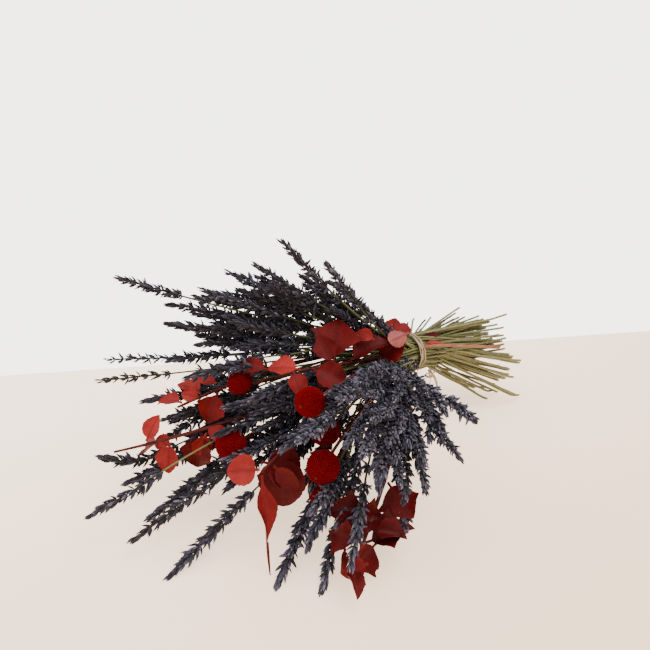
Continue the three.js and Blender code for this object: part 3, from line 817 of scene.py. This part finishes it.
def ball(name, centre, radius, stem_path, node, draw):
    """A ball of florets, its core and its stem.

    A floret's points are its direction times the ball's radius, plus a dome whose rings
    shrink as they rise."""
    out = golden(FLORETS)
    side = unit(np.cross(out, [0.3, 0.5, 0.8]))
    up = np.cross(out, side)
    angle = once_round(FLORET_SIDES)
    rise, wide = FLORET_ROWS.T
    width = radius * math.sqrt(4 / FLORETS) * 0.98
    turn = draw.random(FLORETS)[:, None, None] * 6.28
    ground = radius - 0.8 * MM
    tall = draw.normal(0.8, 0.12, FLORETS)[:, None, None, None] * MM
    ring = (np.cos(angle + turn) * wide[:, None])[..., None] * side[:, None, None]
    ring = ring + (np.sin(angle + turn) * wide[:, None])[..., None] * up[:, None, None]
    base = (radius - 0.75 * MM) * out[:, None, None]
    points = centre + base + width * ring + tall * rise[:, None, None] * out[:, None, None]
    # Painted shade and light: each floret is darker at its foot and lighter at its top.
    shade = BALL_TONE + draw.normal(0, 0.07, (FLORETS, 1, 1)) + 0.22 * (rise[:, None] - 0.5)
    shade = shade + 0 * angle
    florets = piece(f"craspedia_ball_{name}", points, velvet,
                    {"shade": np.clip(shade, 0, 1)}, node)
    rows = np.linspace(0, math.pi, CORE_ROWS)
    spine = centre + np.stack([0 * rows, 0 * rows, -np.cos(rows)], axis=-1) * ground
    width_at = np.maximum(np.sin(rows), 0.02) * ground
    core = tubes(spine[None], width_at[None], CORE_SIDES, reference=(0, 1, 0))
    # Painted shade: the core is nearly black, standing in for the shade in the gaps between
    # florets.
    piece(f"craspedia_core_{name}", core, velvet,
          {"shade": np.full(core.shape[:3], 0.05)}, node)
    radii = np.linspace(1.25, 1.1, len(stem_path))[None] * MM
    piece(f"craspedia_stem_{name}", tubes(stem_path[None], radii, TWIG_SIDES), bark,
          None, node)
    return triangles(florets)


for index, (middles, _) in enumerate(CRASPEDIA):
    node = named("craspedia")[index]
    head = middles[:7]
    centre = (head[0] + head[6]) / 2
    radius = np.linalg.norm(head[0] - head[6]) / 2
    path = line_of(middles)
    keep = np.linalg.norm(path - centre, axis=1) > 0.8 * radius
    draw = np.random.default_rng(500 + index)
    count = ball(node[-2:], centre, radius, resample(path[keep], 48), node, draw)
print("each ball:", count, "triangles")

# %% [markdown]
# ## Eucalyptus
# The leaves are dry and leathery: folded along the midrib, cupped, curled and wavy at the
# edge, no two alike. A leaf is a flat, lens-shaped profile carried from the foot of its
# stalk to its tip, so it has a real thickness and both faces. The model's own leaf says
# where it starts, which way it points and faces, and how long and wide it is.

# %% Reading a leaf
def leaf_frame(node):
    """Foot, directions and size of a model leaf.

    Its length is the direction in which its corners spread most. The foot is the end that is
    narrow for longer, because of the stalk, and the upper side is the one to which the edges
    are cupped: the sign of the squared term in a fit of height against width."""
    points = merged(node)[0]
    middle = points.mean(axis=0)
    out, over, up = np.linalg.svd(points - middle, full_matrices=False)[2]
    along = (points - middle) @ out
    across = (points - middle) @ over
    share = (along - along.min()) / np.ptp(along)
    if abs(across[share < 0.16]).max() > abs(across[share > 0.84]).max():
        out, share = -out, 1 - share
    height = (points - middle) @ up
    terms = np.stack([np.ones_like(share), share, share ** 2, across ** 2], axis=-1)
    if np.linalg.lstsq(terms, height, rcond=None)[0][3] < 0:
        up = -up
    foot = points[share < 0.02].mean(axis=0)
    tip = points[share > 0.98].mean(axis=0)
    out = unit(tip - foot)
    up = unit(up - (up @ out) * out)
    return foot, out, np.cross(out, up), up, np.linalg.norm(tip - foot), np.ptp(across)


FRAMES = [leaf_frame(name) for name in named("eucalyptus_leaf")]
print("leaves:", [(round(f[4] / MM), round(f[5] / MM)) for f in FRAMES])

# %% Shape of a leaf
LEAF_ROWS = 40
LEAF_SIDES = 28


def bump_at(share, place, width):
    """A smooth peak of height 1 at a share of the leaf's length."""
    return np.exp(-abs((share - place) / width) ** 1.4)


def leaf_points(place, fold, curl, wave, twist, point, corner, draw):
    """A leaf's surface, as rings round its flat profile.

    Half width: a stalk, then the sine of a power of the share of the blade, which is rounder
    or more pointed. Height: fold and cup lift the edges, curl drops the tip and waves run
    along the edges. Twist turns the profile about the leaf's own length, and corner makes a
    lobe on each side. Also returned: where the ribs are, and which points are underneath."""
    foot, out, over, up, length, width = place
    share = np.linspace(0, 1, LEAF_ROWS)[:, None]
    blade = np.clip((share - 0.13) / 0.87, 0, 1)
    swell = np.sin(np.pi * blade ** 0.80) ** point
    stalk = 0.9 * MM * (1 - 0.85 * blade)
    theta = once_round(LEAF_SIDES)[None]
    across = np.cos(theta)
    right, left = (across > 0) * abs(across) ** 3, (across < 0) * abs(across) ** 3
    bulge = 1 + corner * bump_at(share, 0.42, 0.07) * right
    bulge = bulge + 0.7 * corner * bump_at(share, 0.62, 0.07) * left
    ragged = 1 + waves(share, draw, (37, 0.025), (83, 0.02))
    half = stalk + (width / 2 - 0.6 * MM) * swell * bulge * ragged
    x = across * half
    wobble = waves(share, draw, (9, 1), (17, 0.6))
    lift = (0.20 * across ** 2 + fold * abs(across)) * half
    lift = lift + wave * wobble * across ** 2 * half * np.sign(across + 0.2)
    midrib = 0.75 * MM * np.exp(-(across * half / (0.8 * MM)) ** 2) * (1 - 0.75 * share)
    z = lift + (0.20 * MM + midrib) * np.sin(theta)
    turn = twist * share
    x, z = x * np.cos(turn) - z * np.sin(turn), x * np.sin(turn) + z * np.cos(turn)
    y = length * share * (1 - 0.25 * abs(curl) * share ** 2)
    z = z - length * curl * share ** 2
    local = x[..., None] * over + y[..., None] * out + z[..., None] * up
    rib = np.exp(-(across * half / (0.35 * MM)) ** 2) * (share < 0.97)
    side_rib = np.exp(-(((share * 9 + 1.7 * abs(across)) % 1 - 0.5) / 0.07) ** 2)
    side_rib = side_rib * 0.6 * (blade > 0.02) * (abs(across) < 0.93)
    under = np.broadcast_to(np.sin(theta) < -1e-6, x.shape).astype(float)
    return foot + local, np.clip(np.maximum(rib, side_rib), 0, 1), under


# Fold, curl, wave, twist, pointedness, corner and shade of each leaf in turn, in hundredths.
LEAF_LOOKS = np.array([
    [15, -5, 5, 10, 75, 0, 75], [75, 5, 6, 30, 70, 0, 55], [55, 12, 8, 20, 80, 10, 35],
    [25, 2, 5, 5, 105, 75, 55], [25, 15, 8, 20, 80, 0, 100], [20, 20, 10, 30, 75, 10, 55],
    [30, 10, 10, 20, 80, 0, 60], [30, 10, 5, 20, 85, 0, 80], [25, 12, 6, 30, 90, 0, 85],
    [45, 5, 8, 30, 80, 20, 60], [20, 5, 5, 30, 75, 0, 90], [45, 10, 6, 50, 85, 0, 75],
    [30, 10, 8, 20, 75, 20, 80], [35, 8, 8, 20, 80, 20, 35], [8, 5, 4, 10, 55, 0, 86],
    [25, 10, 5, 30, 80, 0, 35], [18, 5, 5, 10, 60, 5, 30], [60, -5, 10, 150, 160, 0, 60],
    [35, 12, 10, 20, 90, 50, 26], [60, 15, 20, 80, 90, 50, 14], [80, 20, 18, 70, 90, 40, 20],
    [60, 25, 22, 80, 90, 60, 26], [80, 25, 16, 90, 90, 30, 30],
]) / 100


def leaf_piece(name, place, look, seed, replaced=None):
    """One leaf as a piece, with its ribs, its underside and its shade stored on its points."""
    draw = np.random.default_rng(seed)
    *shape, tone = look
    points, rib, under = leaf_points(place, *shape, draw)
    shade = np.clip(tone + draw.normal(0, 0.03) + 0 * rib, 0, 1)
    return piece(name, points[None], leaf, {"rib": rib, "under": under, "shade": shade},
                 replaced)


for index, node in enumerate(named("eucalyptus_leaf")):
    made = leaf_piece(f"leaf_{index + 1:02d}", FRAMES[index], LEAF_LOOKS[index], 700 + index, node)
print("leaves of the model:", len(FRAMES), "with", triangles(made), "triangles each")

# %% Leaves that the model doesn't hold
# Foot in mm from the tie, length and width in mm, the way the leaf points and the way it
# faces, and the same seven numbers of shape and shade.
SMALL_LEAVES = [
    [-13, -129, 17, 19, 15, 6, -2, -8, 7, -4, 5, 20, 10, 5, 20, 70, 0, 62],
    [-9, -91, 13, 26, 18, -6, 0, 8, 7, -5, 5, 30, 0, 6, 20, 110, 30, 50],
    [7, -59, 28, 17, 12, -9, -3, 3, 2, -5, 8, 30, 10, 5, 30, 80, 0, 90],
    [-67, -174, -5, 15, 11, -8, -5, 2, 4, -5, 7, 20, 10, 5, 20, 70, 0, 80],
    [-60, -163, 5, 16, 9, -8, -5, 2, 3, -4, 9, 40, 10, 5, 20, 80, 0, 80],
    [-26, -142, 19, 24, 12, -9, -4, 1, 4, -4, 8, 30, 10, 8, 40, 80, 0, 50],
    [-52, -180, -26, 20, 15, -2, -4, -9, 9, -3, 4, 30, 10, 6, 20, 70, 20, 80],
    [-38, -171, -30, 18, 12, -8, -4, 4, 5, -4, 8, 30, 10, 6, 20, 80, 0, 70],
    [-69, -200, -35, 14, 12, -9, -3, 3, 3, -6, 7, 30, 10, 5, 20, 70, 0, 85],
    [74, -154, -66, 34, 19, 6, 8, 2, 4, -4, 8, 70, 10, 20, 70, 90, 60, 26],
    [78, -136, -57, 32, 16, -6, -8, 2, 3, -4, 9, 80, 10, 20, 70, 90, 50, 12],
    [79, -150, -66, 22, 17, -2, -8, -4, 7, -3, 6, 60, 10, 20, 50, 90, 60, 22],
    [68, -167, -65, 14, 6, 2, -4, -6, 8, -5, 4, 50, 10, 5, 60, 90, 0, 30],
    [83, -163, -70, 18, 12, -5, -8, -1, 5, -3, 8, 60, 10, 12, 70, 80, 20, 50],
    [4, -176, -28, 30, 26, 5, 8, -4, 6, -6, 6, 20, 10, 5, 10, 60, 10, 28],
    [-5, -118, 18, 29, 22, 7, 5, -4, 5, -5, 7, 30, 10, 8, 20, 70, 10, 45],
    [11, -29, 21, 18, 14, -2, 7, 6, 6, -6, 6, 40, 0, 5, 20, 80, 0, 60],
    [20, -29, 30, 27, 15, -2, -9, -2, -7, 3, -7, 30, 20, 5, 20, 80, 0, 98],
    [8, 44, 7, 23, 7, -3, -10, 1, 4, -4, 8, 50, 0, 5, 40, 90, 0, 20],
    [13, 11, 9, 24, 5, 3, 9, -2, 3, -4, 9, 40, 0, 5, 40, 90, 0, 100],
]


def placed(foot, out, face, length, width):
    """A leaf's foot, its directions (the third made square to the first) and its size."""
    out = unit(out)
    up = unit(face - (face @ out) * out)
    return foot, out, np.cross(out, up), up, length, width


for index, row in enumerate(np.array(SMALL_LEAVES, float)):
    place = placed(TIE + row[:3] * MM, row[5:8] / 10, row[8:11] / 10, *(row[3:5] * MM))
    leaf_piece(f"small_leaf_{index + 1:02d}", place, row[11:] / 100, 800 + index)

# The lowest leaf is twisted and ends in a long, hanging thread.
foot, out, _, up, length, _ = FRAMES[17]
thread = placed(foot + 0.95 * length * out, out + [0.1, -0.1, -1.2], up, 26 * MM, 1.5 * MM)
leaf_piece("leaf_thread", thread, [0.2, 0.1, 0.0, 0.5, 0.8, 0.0, 0.4], 850)
print("more leaves:", len(SMALL_LEAVES), "and a thread")

# %% Twigs
pale_path = TIE + np.array([[15, 2, 8], [22, 22, 6], [33, 55, -1], [46, 98, -10]]) * MM
pale_line = smooth(resample(pale_path, 40), 3)
pale_skin = tubes(pale_line[None], np.linspace(1.2, 1.4, 40)[None] * MM, TWIG_SIDES)
piece("eucalyptus_pale_stem", pale_skin, pale_bark)
feet = np.array([place[0] for place in FRAMES])
for index, (middles, radii) in enumerate(TWIGS):
    path = line_of(middles)
    thick = np.interp(np.linspace(0, 1, STEM_ROWS), np.linspace(0, 1, len(radii) - 1),
                      radii[1:][::-1])
    near = np.linalg.norm(path[:, None] - feet[None], axis=2).min(axis=1)
    thick = np.maximum(thick, 0.8 * MM) * (0.8 + 0.25 * np.exp(-(near / (3.2 * MM)) ** 2))
    piece(f"twig_{index + 1:02d}", tubes(path[None], thick[None], TWIG_SIDES), bark,
          None, named("eucalyptus_twig")[index])
print("twigs:", len(TWIGS))

# %% [markdown]
# ## The raffia tie
# The bunch is held by raffia wound round its waist and knotted at the side. Raffia is a flat
# leaf fibre that creases as it turns, so each turn is its own ribbon that wanders a little
# in width and height over the stems.

# %% Wraps of raffia
WRAPS = 9
WRAP_ROWS, WRAP_SIDES = 96, 12


def ribbon_ring(radius, height, tilt, width, draw):
    """Points of one closed turn of ribbon: a flat profile carried round a circle that rises
    and falls by its tilt and wanders by two slow waves."""
    angle = np.linspace(0, 2 * np.pi, WRAP_ROWS)
    wander = waves(angle, draw, (3, 0.5 * MM), (5, 0.3 * MM), (1, tilt))
    spot = height + wander
    ripple = radius + waves(angle, draw, (11, 0.25 * MM))
    centre = np.stack([ripple * np.cos(angle), spot, ripple * np.sin(angle)], axis=-1)
    outward = np.stack([np.cos(angle), 0 * angle, np.sin(angle)], axis=-1)
    theta = once_round(WRAP_SIDES)
    crease = 0.12 * MM * np.cos(3 * theta)
    flat = (width / 2 * np.cos(theta))[None, :, None] * np.array([0.0, 1.0, 0.0])
    depth = (0.32 * MM * np.sin(theta) + crease)[None, :, None] * outward[:, None]
    return TIE + centre[:, None] + flat + depth


BAND_RADIUS = (band_high[2] - band_low[2]) / 2
BAND_HALF = (band_high[1] - band_low[1]) / 2
draw = np.random.default_rng(900)
wraps = np.stack([ribbon_ring(BAND_RADIUS - draw.uniform(0.6, 1.9) * MM,
                              draw.uniform(-0.6, 0.6) * BAND_HALF, draw.uniform(0.3, 1.4) * MM,
                              draw.uniform(1.0, 2.4) * MM, draw) for _ in range(WRAPS)])
tone = np.broadcast_to(draw.random((WRAPS, 1, 1)), wraps.shape[:3])
band = piece("raffia_wraps", wraps, raffia, {"shade": tone}, "raffia_band")
print("raffia wraps:", triangles(band), "triangles")

# %% The knot and its tails
knot_low, knot_high = (np.array(corner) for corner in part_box("raffia_knot"))
KNOT = (knot_low + knot_high) / 2
knot_size = (knot_high - knot_low) / 2
STRIP_ROWS, STRIP_SIDES = 150, 10


def knot_path():
    """A trefoil: it winds twice round a ring while it weaves three times in and out."""
    t = np.linspace(0, 2 * np.pi, STRIP_ROWS)
    x = np.sin(t) + 2 * np.sin(2 * t)
    y = np.cos(t) - 2 * np.cos(2 * t)
    z = -np.sin(3 * t)
    return np.stack([x, y, 1.6 * z], axis=-1) / 3


def flat_tube(path, width, thick, reference):
    """A flat strip along a path: an ellipse of the given width and thickness at each point."""
    _, side, up = frames(path, reference)
    theta = once_round(STRIP_SIDES)[None, :, None]
    profile = width * np.cos(theta) * side[:, None] + thick * np.sin(theta) * up[:, None]
    return path[:, None] + profile


outward = unit((KNOT - TIE) * np.array([1, 0, 1]))
knot_side = np.array([0.0, 1.0, 0.0])
knot_up = np.cross(outward, knot_side)
loop = knot_path() * min(knot_size) * 0.72
knot_points = KNOT + loop[:, :1] * knot_side + loop[:, 1:2] * knot_up + loop[:, 2:] * outward
strips = [flat_tube(knot_points, 1.0 * MM, 0.5 * MM, outward)]
t = np.linspace(0, 1, STRIP_ROWS)[:, None]
for sideways, drop in ((7 * MM, 11.2 * MM), (-7 * MM, 8.4 * MM)):
    tail = KNOT + outward * (1.5 * MM + 3 * MM * t) + sideways * t * knot_side
    tail = tail - [0, 0, drop] * t ** 2
    strips.append(flat_tube(tail, 1.3 * MM, 0.25 * MM, outward))
strips = np.stack(strips)
piece("raffia_knot_tied", strips, raffia, {"shade": np.full(strips.shape[:3], 0.7)},
      "raffia_knot")
print("knot at", KNOT.round(3))

# %% [markdown]
# ## Floor and light
# The bunch lies near the back edge of a pale, warm table, in soft light from a large window:
# one big lamp above and to the right of the head, a weaker one on the other side, and a
# bright surround that fills every shadow and shows as a pale wall beyond the table.

# %% Table and lamps
def table_finish(back, ahead, at_back, in_front, glow):
    """Warm paint with a little light of its own, with painted light: paint and glow are paler
    towards the table's back edge and darker towards its front.

    The blend is the distance from the point back along ahead, whose length is the inverse of
    the distance over which the colour changes."""
    made = Finish("floor", 0.6, Emission_Strength=glow, Specular_IOR_Level=0.2)
    dot = made.node("VectorMath", "Value", {0: made.place(), 1: ahead}, operation="DOT_PRODUCT")
    share = made.math("SUBTRACT", dot, float(back @ ahead), True)
    paint = made.mix(share, at_back, in_front)
    made.color(paint)
    made.feed(made.shader.inputs["Emission Color"], paint)
    return made.material


TABLE_SIZE = 3.0
TABLE_MARGIN = 0.012
BLEND = 0.5
# Painted light: the table glows a little, and its colour and glow are paler at the back edge than
# in front.
AT_BACK, IN_FRONT, GLOW = (1.08, 0.86, 0.68), (0.80, 0.575, 0.40), 1.5
corner = np.array([CAD_BOX[0][0] - TABLE_MARGIN, CAD_BOX[1][1] + TABLE_MARGIN, 0])
edge = unit(np.array([0.411, 0.5515, 0]))
inwards = np.array([edge[1], -edge[0], 0])
far_left, far_right = corner - edge * TABLE_SIZE, corner + edge * TABLE_SIZE
table_corners = [far_left, far_left + inwards * TABLE_SIZE, far_right + inwards * TABLE_SIZE,
                 far_right]
table_mesh = bpy.data.meshes.new("floor")
table_mesh.from_pydata(table_corners, [], [(0, 1, 2, 3)])
table_mesh.materials.append(table_finish(corner, (inwards + 0.4 * edge) / BLEND, AT_BACK,
                                         IN_FRONT, GLOW))
table = bpy.data.objects.new("floor", table_mesh)
bpy.context.scene.collection.objects.link(table)


HEAD_FROM_TIE = [0.0, -0.08, -0.03]


def lamp(name, place, size, power, color=(1, 1, 1)):
    """A soft square lamp that faces the bunch."""
    data = bpy.data.lights.new(name, "AREA")
    data.size = size
    data.energy = power
    data.color = color
    made = bpy.data.objects.new(name, data)
    made.location = TIE + place
    aim = np.array(HEAD_FROM_TIE) - place
    made.rotation_euler = Euler((math.atan2(math.hypot(aim[0], aim[1]), -aim[2]), 0,
                                 math.atan2(aim[1], aim[0]) - math.pi / 2))
    bpy.context.scene.collection.objects.link(made)


lamp("window", (0.5, 0.1, 1.1), 1.0, 14, (1.0, 0.98, 0.95))
lamp("far_side", (-0.7, -0.5, 0.8), 0.9, 6)


WALL_COLOR = (1.0, 0.965, 0.925, 1)
LIGHTING, SEEN = 1.2, 4.6


def background(tree, strength):
    """A plain surround of that strength."""
    node = tree.nodes.new("ShaderNodeBackground")
    node.inputs["Color"].default_value = WALL_COLOR
    node.inputs["Strength"].default_value = strength
    return node.outputs["Background"]


world = bpy.data.worlds.new("surround")
world.use_nodes = True
tree = world.node_tree
seen_or_lighting = tree.nodes.new("ShaderNodeMixShader")
path = tree.nodes.new("ShaderNodeLightPath")
tree.links.new(path.outputs["Is Camera Ray"], seen_or_lighting.inputs[0])
tree.links.new(background(tree, LIGHTING), seen_or_lighting.inputs[1])
tree.links.new(background(tree, SEEN), seen_or_lighting.inputs[2])
tree.links.new(seen_or_lighting.outputs[0], tree.nodes["World Output"].inputs["Surface"])
bpy.context.scene.world = world
print("stage set")
